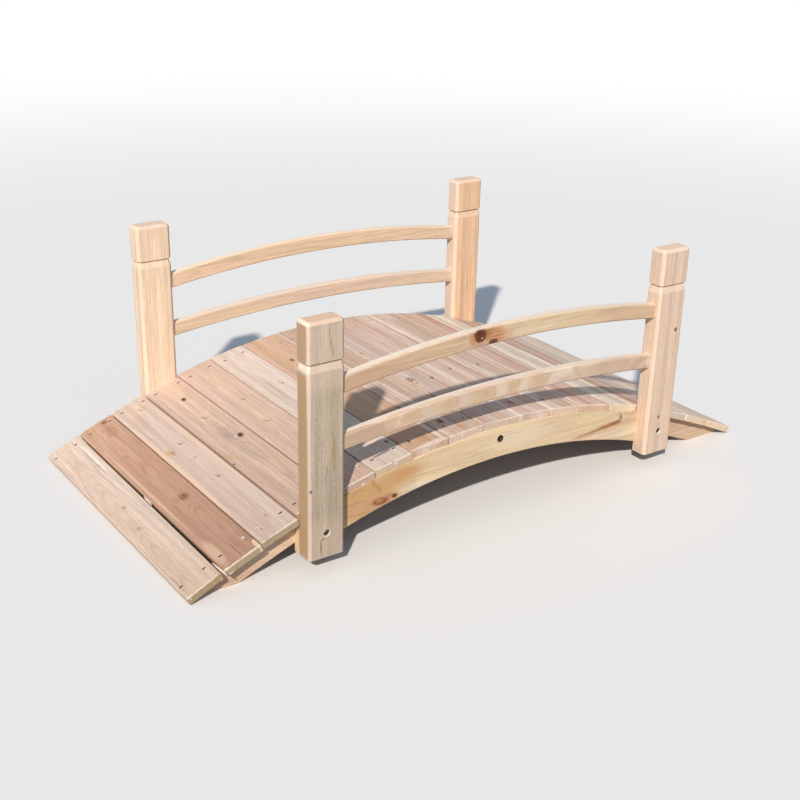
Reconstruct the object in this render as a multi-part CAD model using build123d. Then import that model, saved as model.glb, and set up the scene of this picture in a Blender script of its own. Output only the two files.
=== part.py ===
"""Small arched garden bridge in natural cedar, a moon bridge for one person to cross.

Two curved stringers cut from wide planks stand on their own wedge feet and carry a deck of
seventeen boards. Facing arches cover the stringers' outer faces as far as the posts. Their ends
are rebated, and four notched posts sit in the rebates and are screwed through into the stringers.
Two arched rails a side run from post to post.

Millimetres, Z up, X along the bridge, Y across it from the front to the back. The origin is
on the ground at the middle of the bridge.
"""
from build123d import *
import math
import os

# Frame, over the stringers' outer faces
FRAME_WIDTH = 680.0

# Deck boards, with their edges eased
BOARD_THICKNESS = 16.0
BOARD_WIDTH = 89.0
END_BOARD_WIDTH = 85.0
BOARD_GAP = 2.0
BOARD_EDGE = 2.0
END_BOARD_OVERHANG = 24.5
SPAN_BOARD_COUNT = 11
END_BOARD_COUNT = 3

# Curve that the boards lie on: an arc between the posts, and a flatter one down each ramp
CROWN_HEIGHT = 192.0
CROWN_RADIUS = 1390.0
RAMP_RADIUS = 3750.0

# Stringers
STRINGER_THICKNESS = 38.0
STRINGER_DEPTH = 50.0
STRINGER_TIP = 5.0
STRINGER_EDGE = 3.0

# Facing arches, thinner behind the posts
FACING_THICKNESS = 24.0
FACING_END_THICKNESS = 12.0
FACING_DEPTH = 70.0
FACING_EDGE = 2.0

# Posts
POST_WIDTH = 82.0
POST_THICKNESS = 43.0
POST_FOOT = 33.0
POST_TOP = 523.0
POST_CHAMFER = 6.0
POST_TOP_CHAMFER = 6.0
POST_CLEARANCE = 2.0

# Notch round the post's head: a level shoulder above and a long bevel below
NOTCH_SHOULDER = 442.5
NOTCH_HEIGHT = 18.0
NOTCH_DEPTH = 5.0

# Rails: the middle of the arch is a height above the ground, and each end falls from there
RAIL_THICKNESS = 22.0
RAIL_EDGE = 2.5
TOP_RAIL_HEIGHT = 434.0
TOP_RAIL_FALL = 35.0
TOP_RAIL_MIDDLE_DEPTH = 37.0
TOP_RAIL_END_DEPTH = 33.0
LOW_RAIL_HEIGHT = 307.0
LOW_RAIL_FALL = 28.0
LOW_RAIL_MIDDLE_DEPTH = 35.0
LOW_RAIL_END_DEPTH = 32.0

# Cross tie between the stringers, below the middle board
TIE_WIDTH = 38.0
TIE_DEPTH = 42.0
TIE_DROP = 6.0

# Hex head screws in round pockets
SCREW_DIAMETER = 9.5
SCREW_CLEARANCE = 0.25
SCREW_POINT = 5.0
HEAD_WIDTH = 13.0
HEAD_HEIGHT = 5.0
POCKET_DIAMETER = 15.0
POST_POCKET_DEPTH = 12.0
POST_SCREW_HEIGHT = 86.5
POST_SCREW_BITE = 30.0
TIE_POCKET_DEPTH = 12.0
TIE_SCREW_BITE = 45.0

SIDES = {"front": -1, "back": 1}
ENDS = {"left": -1, "right": 1}

frame_half = FRAME_WIDTH / 2
inner_half = frame_half - STRINGER_THICKNESS
post_face = frame_half + FACING_END_THICKNESS
post_y = post_face + POST_THICKNESS / 2
tie_middle = CROWN_HEIGHT - TIE_DROP - TIE_DEPTH / 2

span_pitch = BOARD_WIDTH + BOARD_GAP
span_half = SPAN_BOARD_COUNT / 2 * span_pitch
end_pitch = END_BOARD_WIDTH + BOARD_GAP
ramp_start = span_half + POST_CLEARANCE
deck_half = ramp_start + END_BOARD_COUNT * end_pitch


def deck_point(run, lift=0.0):
    """X, Z and slope of the deck curve, run along it from the crown and lift above it."""
    side = -1 if run < 0 else 1
    run = abs(run)
    crown_slope = min(run, span_half) / CROWN_RADIUS
    slope = crown_slope + max(run - span_half, 0) / RAMP_RADIUS
    x = CROWN_RADIUS * math.sin(crown_slope)
    x += RAMP_RADIUS * (math.sin(slope) - math.sin(crown_slope))
    z = CROWN_HEIGHT - CROWN_RADIUS * (1 - math.cos(crown_slope))
    z -= RAMP_RADIUS * (math.cos(crown_slope) - math.cos(slope))
    return side * (x + lift * math.sin(slope)), z + lift * math.cos(slope), side * slope


def run_where(passed, lift=0.0):
    """How far along the curve, out from the crown, its x and z first pass a mark."""
    low, high = 0.0, 2 * deck_half
    for _ in range(60):
        middle = (low + high) / 2
        x, z, _slope = deck_point(middle, lift)
        if passed(x, z):
            high = middle
        else:
            low = middle
    return high


def deck_curve(half_run, lift=0.0):
    """The deck curve over the crown from -half_run to half_run, as arcs in the XZ plane."""
    bends = [run for run in (-span_half, span_half) if abs(run) < half_run]
    stations = [-half_run] + bends + [half_run]
    arcs = []
    for start, stop in zip(stations, stations[1:]):
        points = [deck_point(run, lift)[:2] for run in (start, (start + stop) / 2, stop)]
        arcs.append(ThreePointArc(*points))
    return arcs


def between(edges, y_low, y_high):
    """A solid with these edges as its outline in the XZ plane, from one Y to another."""
    face = make_face(Plane.XZ * Wire(edges))
    return Pos(0, y_high, 0) * extrude(face, amount=y_high - y_low, dir=(0, -1, 0))


def underside_edges(solid):
    """The long curved edges along the underside of an arched solid."""
    rounds = solid.faces().filter_by(GeomType.CYLINDER)
    below = [face for face in rounds if face.normal_at().Z < 0]
    return ShapeList(edge for face in below for edge in face.edges().filter_by(GeomType.CIRCLE))


def bore(x, y, z, direction, depth, diameter=SCREW_DIAMETER + 2 * SCREW_CLEARANCE):
    """A round hole's cutter, from its mouth at y along Y."""
    mouth = Plane(origin=(x, y, z), z_dir=(0, direction, 0))
    return mouth * Cylinder(diameter / 2, depth, align=(Align.CENTER, Align.CENTER, Align.MIN))


def deck_board(width, length):
    board = Box(width, length, BOARD_THICKNESS, align=(Align.CENTER, Align.CENTER, Align.MIN))
    return fillet(board.edges().filter_by(Axis.Y), BOARD_EDGE)


def deck_boards():
    """Boards from the left end to the right, each flat and laid on the curve at its middle.

    The outermost board of the span fits between the posts. The others in the span end flush
    with the facing arches, and the end boards overhang the stringers a little.
    """
    board_count = SPAN_BOARD_COUNT + 2 * END_BOARD_COUNT
    boards = []
    for number in range(board_count):
        place = number - (board_count - 1) / 2
        past_span = abs(place) - (SPAN_BOARD_COUNT - 1) / 2
        run, width = place * span_pitch, BOARD_WIDTH
        if past_span > 0:
            run = math.copysign(ramp_start + (past_span - 0.5) * end_pitch, place)
            width, overhang = END_BOARD_WIDTH, END_BOARD_OVERHANG
        elif past_span == 0:
            overhang = FACING_END_THICKNESS
        else:
            overhang = FACING_THICKNESS
        x, z, slope = deck_point(run)
        board = deck_board(width, FRAME_WIDTH + 2 * overhang)
        boards.append(Pos(x, 0, z) * Rot(0, math.degrees(slope), 0) * board)
    return boards


def post_x():
    """Middle of the right-hand posts, whose outer sides line up with the start of the ramp."""
    return deck_point(ramp_start)[0] - POST_WIDTH / 2


def stringer(side):
    """Two concentric curves cut from one plank, cut level along the ground at each foot."""
    tip_run = run_where(lambda x, z: z < STRINGER_TIP)
    foot_run = run_where(lambda x, z: z < 0, -STRINGER_DEPTH)
    tip_x, tip_z, _slope = deck_point(tip_run)
    foot_x = deck_point(foot_run, -STRINGER_DEPTH)[0]
    edges = deck_curve(tip_run) + deck_curve(foot_run, -STRINGER_DEPTH)
    for end in ENDS.values():
        edges.append(Line((end * tip_x, tip_z), (end * tip_x, 0)))
        edges.append(Line((end * tip_x, 0), (end * foot_x, 0)))
    solid = between(edges, *sorted((side * inner_half, side * frame_half)))
    solid = chamfer(underside_edges(solid), STRINGER_EDGE)
    for end in ENDS.values():
        solid -= bore(end * post_x(), side * frame_half, POST_SCREW_HEIGHT, -side, POST_SCREW_BITE)
    return solid - bore(0, side * frame_half, tie_middle, -side, STRINGER_THICKNESS)


def facing_layer(half, y_low, y_high):
    """An arch below the deck curve with plumb ends, half its length to either side."""
    top_run = run_where(lambda x, z: x > half)
    low_run = run_where(lambda x, z: x > half, -FACING_DEPTH)
    edges = deck_curve(top_run) + deck_curve(low_run, -FACING_DEPTH)
    top_x, top_z, _slope = deck_point(top_run)
    low_x, low_z, _slope = deck_point(low_run, -FACING_DEPTH)
    edges += [Line((end * top_x, top_z), (end * low_x, low_z)) for end in ENDS.values()]
    return between(edges, y_low, y_high)


def facing_arch(side):
    """A deeper arch on the stringer's outer face. Its ends are rebated for the posts and cut
    level with the posts' feet."""
    outer = side * (frame_half + FACING_THICKNESS)
    half = post_x() - POST_WIDTH / 2
    front = facing_layer(half, *sorted((side * post_face, outer)))
    outer_edge = max(underside_edges(front), key=lambda edge: abs((edge @ 0.5).Y))
    front = chamfer(outer_edge, FACING_EDGE)
    solid = front + facing_layer(half + POST_WIDTH, *sorted((side * frame_half, side * post_face)))
    solid = split(solid, bisect_by=Plane.XY.offset(POST_FOOT), keep=Keep.TOP)
    for end in ENDS.values():
        solid -= bore(end * post_x(), side * post_face, POST_SCREW_HEIGHT, -side, FACING_END_THICKNESS)
    solid -= bore(0, outer, tie_middle, -side, FACING_THICKNESS)
    return solid - bore(0, outer, tie_middle, -side, TIE_POCKET_DEPTH, POCKET_DIAMETER)


def post_section(inset=0.0):
    """The post's chamfered section, drawn in by inset on every side."""
    outline = Rectangle(POST_WIDTH - 2 * inset, POST_THICKNESS - 2 * inset)
    return chamfer(outline.vertices(), POST_CHAMFER - inset * (2 - math.sqrt(2)))


def notch_cutter():
    """A block with the waist of the post left inside it: bevelled below, level above."""
    lip = Plane.XY.offset(NOTCH_SHOULDER - NOTCH_HEIGHT)
    shoulder = Plane.XY.offset(NOTCH_SHOULDER)
    waist = loft([lip * post_section(), shoulder * post_section(NOTCH_DEPTH)])
    block = extrude(lip * Rectangle(2 * POST_WIDTH, 2 * POST_THICKNESS), NOTCH_HEIGHT)
    return block - waist


def post(side, end):
    solid = Pos(0, 0, POST_FOOT) * extrude(post_section(), POST_TOP - POST_FOOT)
    solid = chamfer(solid.faces().sort_by(Axis.Z)[-1].edges(), POST_TOP_CHAMFER)
    solid -= notch_cutter()
    mouth = side * POST_THICKNESS / 2
    solid -= bore(0, mouth, POST_SCREW_HEIGHT, -side, POST_THICKNESS)
    solid -= bore(0, mouth, POST_SCREW_HEIGHT, -side, POST_POCKET_DEPTH, POCKET_DIAMETER)
    return Pos(end * post_x(), side * post_y, 0) * solid


def rail(side, height, fall, middle_depth, end_depth):
    """An arched rail between two posts, a little deeper at its middle than at its ends."""
    half = post_x() - POST_WIDTH / 2
    end_top = height - fall
    end_low = end_top - end_depth
    edges = [
        ThreePointArc((-half, end_top), (0, height), (half, end_top)),
        ThreePointArc((-half, end_low), (0, height - middle_depth), (half, end_low)),
        Line((-half, end_top), (-half, end_low)),
        Line((half, end_top), (half, end_low)),
    ]
    solid = between(edges, side * post_y - RAIL_THICKNESS / 2, side * post_y + RAIL_THICKNESS / 2)
    return chamfer(solid.edges().filter_by(GeomType.CIRCLE), RAIL_EDGE)


def cross_tie():
    """Spreader between the stringers, under the middle board."""
    tie = Pos(0, 0, tie_middle) * Box(TIE_WIDTH, 2 * inner_half, TIE_DEPTH)
    for side in SIDES.values():
        tie -= bore(0, side * inner_half, tie_middle, -side, TIE_SCREW_BITE)
    return tie


def hex_screw(x, seat, z, side, length):
    """A pointed screw along Y, with the underside of its hex head at seat."""
    radius = SCREW_DIAMETER / 2
    top = HEAD_HEIGHT / 2
    outline = Polyline((0, top), (radius, top), (radius, SCREW_POINT - length), (0, -length), close=True)
    shank = revolve(Plane.XZ * make_face(outline), Axis.Z)
    head = extrude(RegularPolygon(HEAD_WIDTH / 2, 6), HEAD_HEIGHT)
    return Plane(origin=(x, seat, z), z_dir=(0, side, 0)) * (head + shank)


def post_screw(side, end):
    seat = post_face + POST_THICKNESS - POST_POCKET_DEPTH
    length = seat - frame_half + POST_SCREW_BITE
    return hex_screw(end * post_x(), side * seat, POST_SCREW_HEIGHT, side, length)


def tie_screw(side):
    seat = frame_half + FACING_THICKNESS - TIE_POCKET_DEPTH
    length = seat - inner_half + TIE_SCREW_BITE
    return hex_screw(0, side * seat, tie_middle, side, length)


def build():
    """Every piece of the bridge, by name."""
    parts = {}
    for number, board in enumerate(deck_boards(), start=1):
        parts[f"deck_board_{number:02d}"] = board
    parts["cross_tie"] = cross_tie()
    for side_name, side in SIDES.items():
        parts[f"stringer_{side_name}"] = stringer(side)
        parts[f"facing_arch_{side_name}"] = facing_arch(side)
        parts[f"tie_screw_{side_name}"] = tie_screw(side)
        parts[f"top_rail_{side_name}"] = rail(
            side, TOP_RAIL_HEIGHT, TOP_RAIL_FALL, TOP_RAIL_MIDDLE_DEPTH, TOP_RAIL_END_DEPTH
        )
        parts[f"low_rail_{side_name}"] = rail(
            side, LOW_RAIL_HEIGHT, LOW_RAIL_FALL, LOW_RAIL_MIDDLE_DEPTH, LOW_RAIL_END_DEPTH
        )
        for end_name, end in ENDS.items():
            parts[f"post_{side_name}_{end_name}"] = post(side, end)
            parts[f"post_screw_{side_name}_{end_name}"] = post_screw(side, end)
    return parts


os.makedirs("parts", exist_ok=True)
for name, solid in build().items():
    export_step(solid, f"parts/{name}.step")
    size = solid.bounding_box().size
    print(f"{name}: {size.X:.1f} x {size.Y:.1f} x {size.Z:.1f} mm")
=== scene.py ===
# %% [markdown]
# # A small cedar moon bridge
# The bridge is plain, unfinished cedar: an arched deck of seventeen boards between two low, arched
# rails, held together with staples and six sunken screws. Its shapes come from the frame, and this
# lesson gives them their looks. Each board is sawn from another log, so it has rings, knots and a
# tone of its own, and that is most of the work.

# %% The frame and what it measures
import math
import random

import bmesh
import bpy
from mathutils import Matrix, Vector


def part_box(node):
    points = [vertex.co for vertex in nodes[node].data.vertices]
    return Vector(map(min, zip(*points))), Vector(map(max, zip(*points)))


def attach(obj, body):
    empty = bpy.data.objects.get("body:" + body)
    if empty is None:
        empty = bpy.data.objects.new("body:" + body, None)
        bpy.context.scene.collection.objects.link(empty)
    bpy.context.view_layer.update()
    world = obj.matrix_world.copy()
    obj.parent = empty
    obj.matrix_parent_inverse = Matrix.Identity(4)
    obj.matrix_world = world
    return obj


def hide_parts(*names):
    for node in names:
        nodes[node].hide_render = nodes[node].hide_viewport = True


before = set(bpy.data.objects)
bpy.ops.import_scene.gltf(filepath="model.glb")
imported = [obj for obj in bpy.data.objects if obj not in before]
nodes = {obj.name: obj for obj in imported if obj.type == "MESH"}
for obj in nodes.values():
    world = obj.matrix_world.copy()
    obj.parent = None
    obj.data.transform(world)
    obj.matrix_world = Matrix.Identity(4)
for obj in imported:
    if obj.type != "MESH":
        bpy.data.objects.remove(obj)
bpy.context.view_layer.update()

MM = 0.001

# %% [markdown]
# ## Small helpers
# Every look in this lesson is a tree of shader nodes. Each helper adds one or two nodes to the tree
# that was begun last, and gives back what comes out of them, so that a tree reads like sums.

# %% Helpers for shader nodes
tree = None


def begin(new_tree):
    """From here on the helpers add their nodes to this tree."""
    global tree
    tree = new_tree


def wire(inputs, values):
    """Sets each of these inputs to a value, or wires it to a socket."""
    for name, value in values.items():
        if isinstance(value, bpy.types.NodeSocket):
            tree.links.new(value, inputs[name])
        else:
            inputs[name].default_value = value


def add(kind, inputs=None, **settings):
    """A shader node with these settings and inputs."""
    made = tree.nodes.new("ShaderNode" + kind)
    for name, value in settings.items():
        setattr(made, name, value)
    wire(made.inputs, inputs or {})
    return made


def calc(operation, *values, clamp=False):
    """The result of a Math node."""
    return add("Math", dict(enumerate(values)), operation=operation, use_clamp=clamp).outputs[0]


def times(first, second):
    return calc("MULTIPLY", first, second)


def plus(first, second):
    return calc("ADD", first, second)


def vector_calc(operation, *values):
    """The vector result of a Vector Math node."""
    return add("VectorMath", dict(enumerate(values)), operation=operation).outputs[0]


def length(vector):
    return add("VectorMath", {0: vector}, operation="LENGTH").outputs["Value"]


def likeness(first, second):
    """The dot product of two directions: 1 where they are the same."""
    return add("VectorMath", {0: first, 1: second}, operation="DOT_PRODUCT").outputs["Value"]


def scaled_by(vector, factor):
    """A vector times a number."""
    return add("VectorMath", {0: vector, "Scale": factor}, operation="SCALE").outputs[0]


def parts(vector):
    """The X, Y and Z of a vector."""
    return add("SeparateXYZ", {0: vector}).outputs


def ease(value, start, stop, low=0, high=1):
    """A smooth step of a value from low at start to high at stop."""
    limits = {"Value": value, 1: start, 2: stop, 3: low, 4: high}
    return add("MapRange", limits, interpolation_type="SMOOTHSTEP").outputs[0]


def noise(vector, stretch, detail=2, roughness=0.5, output="Fac"):
    """Noise with so many waves a metre along each axis."""
    scaled = vector_calc("MULTIPLY", vector, stretch)
    looks = {"Vector": scaled, "Scale": 1, "Detail": detail, "Roughness": roughness}
    return add("TexNoise", looks).outputs[output]


def swirl(vector, stretch, detail=1):
    """Coloured noise as a vector that is as often below nought as above it."""
    return vector_calc("SUBTRACT", noise(vector, stretch, detail, output="Color"), (0.5, 0.5, 0.5))


def mix_colour(share, first, second, kind="MIX"):
    """Two colours mixed by a share."""
    return add("Mix", {0: share, 6: first, 7: second}, data_type="RGBA", blend_type=kind).outputs[2]


def shaded(colour, factor):
    """A colour made lighter or darker by a number."""
    grey = add("CombineColor", {0: factor, 1: factor, 2: factor}).outputs[0]
    return mix_colour(1, colour, grey, "MULTIPLY")


def tone(red, green, blue):
    """A colour as a screen shows it, in the linear values that a shader reads."""
    def linear(value):
        return value / 12.92 if value <= 0.04045 else ((value + 0.055) / 1.055) ** 2.4
    return linear(red / 255), linear(green / 255), linear(blue / 255), 1


def new_material(name):
    """A material whose tree is begun, and the object's own coordinates."""
    made = bpy.data.materials.new(name)
    made.use_nodes = True
    begin(made.node_tree)
    tree.nodes.clear()
    return made, add("TexCoord").outputs["Object"]


def end_material(bumps, inputs):
    """Ends a material's tree with bumps and a Principled shader."""
    normal = add("Bump", bumps).outputs[0]
    shader = add("BsdfPrincipled", {"Normal": normal, **inputs}).outputs[0]
    add("OutputMaterial", {"Surface": shader})


print("helpers are ready; mid grey is", round(tone(128, 128, 128)[0], 3))

# %% [markdown]
# ## Camera
# The photograph looks down on the bridge from its front left corner. The lens, the camera's place
# and a slight roll were found by matching the corners of posts and boards.

# %% Camera
CAMERA_PLACE = Vector((-1.568128, -2.219790, 1.280371))
CAMERA_TURN = math.radians(35.1181)
CAMERA_TILT = math.radians(23.0804)
CAMERA_ROLL = math.radians(1.2876)
CAMERA_LENS = 56.370
SENSOR_WIDTH = 36.0

camera = bpy.data.objects.new("camera", bpy.data.cameras.new("camera"))
bpy.context.scene.collection.objects.link(camera)
camera.data.sensor_width = SENSOR_WIDTH
camera.data.lens = CAMERA_LENS
upright = Matrix.Rotation(-CAMERA_TURN, 4, "Z") @ Matrix.Rotation(math.pi / 2 - CAMERA_TILT, 4, "X")
camera.matrix_world = Matrix.Translation(CAMERA_PLACE) @ upright @ Matrix.Rotation(CAMERA_ROLL, 4, "Z")
bpy.context.scene.camera = camera
print("camera", round((CAMERA_PLACE - Vector((0, 0, 0.25))).length, 3), "m from the deck")

# %% [markdown]
# ## Light and floor
# A low sun comes over the viewer's left shoulder and lays the low rail's shadow along the deck, and
# an even, slightly blue sky fills the shadows. The floor looks pale, but it throws back less light
# than it shows, since the grass under the real bridge was dark. Further out it fades to white.

# %% Lamps and world
SUN_DIRECTION = Vector((0.571, 0.562, -0.598))
SUN_SPREAD = math.radians(1.8)
SUN_STRENGTH = 3.62
SKY_STRENGTH = 0.3
SUN_COLOUR = (1, 0.93, 0.84)
SKY_COLOUR = (0.78, 0.97, 1.24)

sun = bpy.data.objects.new("sun", bpy.data.lights.new("sun", "SUN"))
bpy.context.scene.collection.objects.link(sun)
sun.data.energy = SUN_STRENGTH
sun.data.angle = SUN_SPREAD
sun.data.color = SUN_COLOUR
sun.rotation_mode = "QUATERNION"
sun.rotation_quaternion = SUN_DIRECTION.to_track_quat("-Z", "Y")

world = bpy.data.worlds.new("studio")
bpy.context.scene.world = world
world.use_nodes = True
world.node_tree.nodes.clear()
bpy.context.scene.view_settings.view_transform = "Standard"


def seen_rays():
    """1 for rays that come from the camera, a reflection or a clear surface."""
    rays = add("LightPath").outputs
    either = calc("MAXIMUM", rays["Is Camera Ray"], rays["Is Glossy Ray"])
    return calc("MAXIMUM", either, rays["Is Transmission Ray"])


begin(world.node_tree)
sky = add("Background", {"Color": (*SKY_COLOUR, 1), "Strength": SKY_STRENGTH})
white = add("Background", {"Color": (1, 1, 1, 1), "Strength": 1})
mixed = add("MixShader", {0: seen_rays(), 1: sky.outputs[0], 2: white.outputs[0]})
add("OutputWorld", {"Surface": mixed.outputs[0]})
print("sun", SUN_STRENGTH, "sky", SKY_STRENGTH)

# %% Floor
FLOOR_RADIUS = 40
FLOOR_FADE_START = 2.2
FLOOR_FADE_END = 6
FLOOR_TONE = (0.86, 0.85, 0.84)
FLOOR_BOUNCE = (0.36, 0.36, 0.36)

bpy.ops.object.select_all(action="DESELECT")
bpy.ops.mesh.primitive_circle_add(vertices=96, radius=FLOOR_RADIUS, fill_type="NGON")
floor = bpy.context.object
floor.name = "floor"
floor_paint, place = new_material("pale floor")
fade = ease(length(place), FLOOR_FADE_START, FLOOR_FADE_END)
seen = seen_rays()
paint = mix_colour(seen, (*FLOOR_BOUNCE, 1), (*FLOOR_TONE, 1))
matte = add("BsdfPrincipled", {"Base Color": paint, "Roughness": 0.9})
glow = add("Emission", {"Color": (1, 1, 1, 1), "Strength": 1})
share = times(fade, seen)
surface = add("MixShader", {0: share, 1: matte.outputs[0], 2: glow.outputs[0]})
add("OutputMaterial", {"Surface": surface.outputs[0]})
floor.data.materials.append(floor_paint)
print("floor fades to white from", FLOOR_FADE_START, "m")

# %% [markdown]
# ## Wood as a solid
# A picture of wood wrapped round a board shows no end grain. So the log's rings are made as a solid
# here: distance from a wandering pith line, divided by the width of a year's growth. Every face
# then shows the right cut, with arches on flat faces and arcs on the ends. Each material first
# brings its piece into its own log's coordinates, with X along the grain.

# %% Helpers for shader groups
KINDS = {"value": "NodeSocketFloat", "vector": "NodeSocketVector", "colour": "NodeSocketColor"}


def new_group(name, inputs, outputs):
    """A shader group whose tree is begun. Its inputs and outputs are listed by kind."""
    begin(bpy.data.node_groups.new(name, "ShaderNodeTree"))
    for way, listing in (("INPUT", inputs), ("OUTPUT", outputs)):
        for kind, labels in listing.items():
            for label in labels.split(", "):
                tree.interface.new_socket(name=label, in_out=way, socket_type=KINDS[kind])
    return tree, tree.nodes.new("NodeGroupInput").outputs, tree.nodes.new("NodeGroupOutput").inputs


def use(group, inputs):
    """The outputs of a group placed in a tree with these inputs."""
    return add("Group", inputs, node_tree=group).outputs


print("kinds of sockets:", list(KINDS))

# %% [markdown]
# ### Growth rings
# Early wood is pale, and late wood is a thin, darker line with a sharp outer side. The pith wanders
# and leans a little, which draws the long arches that carpenters call cathedrals. Knots push the
# rings aside, so the group takes a push to add to the radius.

# %% Growth ring group
RIPPLE = 2.2 * MM

rings_group, given, result = new_group(
    "growth rings", {"vector": "Vector, Pith, Lean", "value": "Ring Width, Wander, Seed, Push"},
    {"value": "Late Wood"})
shifted = vector_calc("ADD", given["Vector"], scaled_by((7.3, 3.1, 5.7), given["Seed"]))
drift = scaled_by(swirl(shifted, (2.2, 6, 6)), given["Wander"])
ripple = scaled_by(swirl(shifted, (11, 40, 40)), RIPPLE)
along = parts(given["Vector"])["X"]
out = vector_calc("SUBTRACT", given["Vector"], given["Pith"])
out = vector_calc("SUBTRACT", out, scaled_by(given["Lean"], along))
out = vector_calc("ADD", vector_calc("ADD", out, drift), ripple)
radius = plus(length(vector_calc("MULTIPLY", out, (0, 1, 1))), given["Push"])
slow = plus(times(radius, 60), given["Seed"])
uneven = add("TexNoise", {"W": slow, "Scale": 1, "Detail": 1}, noise_dimensions="1D").outputs[0]
years = calc("DIVIDE", radius, given["Ring Width"])
years = plus(years, times(uneven, 2.5))
season = calc("FRACT", years)
line = times(ease(season, 0.3, 0.85), ease(season, 0.9, 1, 1, 0))
year = plus(calc("FLOOR", years), given["Seed"])
harsh = add("TexWhiteNoise", {"W": year}, noise_dimensions="1D").outputs["Value"]
line = times(line, calc("MULTIPLY_ADD", harsh, 0.8, 0.2))
wire(result, {"Late Wood": line})
print("growth rings:", len(tree.nodes), "nodes")

# %% [markdown]
# ### Knots
# A knot is a branch that the log grew round: on a face a dark disc in a reddish ring, with the
# grain flowing past it. It runs right through the piece, so its reach along the branch is endless.
# Knot groups are chained: each joins its push, disc and glow to those before it. A hollow knot
# shows only its rim and heart.

# %% Knot group
knot_group, given, result = new_group(
    "knot", {"vector": "Vector, Centre, Reach", "value": "Strength, Push, Disc, Glow, Darkness, Hollow"},
    {"value": "Push, Disc, Glow"})
away = vector_calc("SUBTRACT", given["Vector"], given["Centre"])
steps = length(vector_calc("MULTIPLY", away, given["Reach"]))
far = calc("POWER", times(steps, 0.4), 3)
near = calc("DIVIDE", 1, plus(1, far))
push = calc("MULTIPLY_ADD", near, given["Strength"], given["Push"])
inside = times(ease(steps, 0.22, 0.42), ease(steps, 0.86, 0.68))
cleared = calc("SUBTRACT", 1, times(inside, given["Hollow"]))
disc = times(ease(steps, 1.12, 0.88), times(cleared, given["Darkness"]))
glow = times(ease(steps, 2.1, 0.9), given["Darkness"])
wire(result, {"Push": push, "Disc": calc("MAXIMUM", given["Disc"], disc),
              "Glow": calc("MAXIMUM", given["Glow"], glow)})
print("knot:", len(tree.nodes), "nodes")

# %% [markdown]
# ### Stains, cracks, resin and painted light
# Everything else that marks one place is a patch of another colour with a soft or a hard rim: a
# grey tear, a crack, a bead of resin, the painted shade inside a screw hole, a painted highlight.

# %% Patch group
patch_group, given, result = new_group(
    "patch", {"vector": "Vector, Centre, Reach", "colour": "Colour, Tone", "value": "Soft, Share"},
    {"colour": "Colour"})
away = vector_calc("SUBTRACT", given["Vector"], given["Centre"])
steps = length(vector_calc("MULTIPLY", away, given["Reach"]))
full = calc("SUBTRACT", 1, given["Soft"])
cover = ease(steps, 1, full, 0, given["Share"])
wire(result, {"Colour": mix_colour(cover, given["Colour"], given["Tone"])})
print("patch:", len(tree.nodes), "nodes")

# %% [markdown]
# ### Fibres, streaks and flecks
# Between the rings the wood has fine fibres, lines and mottling, broader streaks that follow the
# grain, and here and there a short dark fleck where a resin duct is cut. All of them are noise
# drawn out along the grain, at six scales.

# %% Fibre group
FIBRE_SWAY = 6 * MM

fibre_group, given, result = new_group(
    "fibres", {"vector": "Vector", "value": "Seed"}, {"value": "Fine, Line, Mottle, Streak, Blush, Fleck"})
shifted = vector_calc("ADD", given["Vector"], scaled_by((2.9, 8.3, 4.1), given["Seed"]))
sway = vector_calc("MULTIPLY", swirl(shifted, (5, 18, 18)), (0, FIBRE_SWAY, FIBRE_SWAY))
wavy = vector_calc("ADD", shifted, sway)
wire(result, {
    "Fine": noise(wavy, (7, 640, 640), 2, 0.6), "Line": noise(wavy, (1.6, 230, 230), 3, 0.65),
    "Streak": noise(wavy, (0.8, 54, 54), 3, 0.55), "Blush": noise(wavy, (0.8, 22, 22)),
    "Mottle": noise(wavy, (18, 150, 150), 2, 0.6),
    "Fleck": ease(noise(wavy, (120, 560, 560), 1), 0.58, 0.7)})
print("fibres:", len(tree.nodes), "nodes")

# %% [markdown]
# ### Sawn ends, pale edges and painted light
# The saw leaves end grain rough. Its mask is how squarely the surface looks along the grain. Edges
# are painted pale, as wear from handling and as painted highlights where light catches them: a Bevel
# node bends the normal near an edge, and where it differs from the true one there is an edge. Faces
# that look up are painted paler as painted light, and chamfers, which lean away from the piece's main
# faces, are painted pale as fresh planed wood and as painted light.

# %% Surface group
surface_group, given, result = new_group(
    "sawn surface", {"vector": "Vector, Grain", "value": "Edge"},
    {"value": "End, Kerf, Worn, Upward, Planed", "vector": "Rounded"})
facing = add("NewGeometry").outputs
square = calc("ABSOLUTE", likeness(facing["True Normal"], given["Grain"]))
rounded = add("Bevel", {"Radius": given["Edge"]}, samples=6).outputs[0]
same = likeness(rounded, facing["True Normal"])
chipped = calc("MULTIPLY_ADD", noise(given["Vector"], (50, 160, 160)), 0.16, -0.08)
height = parts(facing["Normal"])["Z"]
sides = parts(vector_calc("ABSOLUTE", facing["True Normal"]))
straight = calc("MAXIMUM", calc("MAXIMUM", sides["X"], sides["Y"]), sides["Z"])
wire(result, {
    "End": ease(square, 0.55, 0.85), "Kerf": noise(given["Vector"], (60, 260, 700), 3, 0.6),
    "Worn": ease(plus(same, chipped), 0.985, 0.86), "Rounded": rounded,
    "Upward": ease(height, 0.6, 0.95), "Planed": ease(straight, 0.99, 0.97)})
print("sawn surface:", len(tree.nodes), "nodes")

# %% [markdown]
# ### Cedar colour
# The last group puts the masks together as colour, roughness and height. Each piece has a pale,
# a warm and a deep tone of its own, a second hue for its broad streaks, and a tone for its ends.

# %% Cedar colour group
KNOT_BROWN = tone(104, 56, 40)
KNOT_GLOW = tone(182, 126, 92)
FLECK_BROWN = tone(136, 106, 80)
# A pale tone for painted light on faces that look up and on edges, and for edge wear.
LIT_AND_WORN_PALE = tone(250, 232, 214)
# A pale tone for chamfers: fresh planed wood, and painted light where they face the light.
FRESH_AND_LIT = tone(238, 218, 198)

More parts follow.
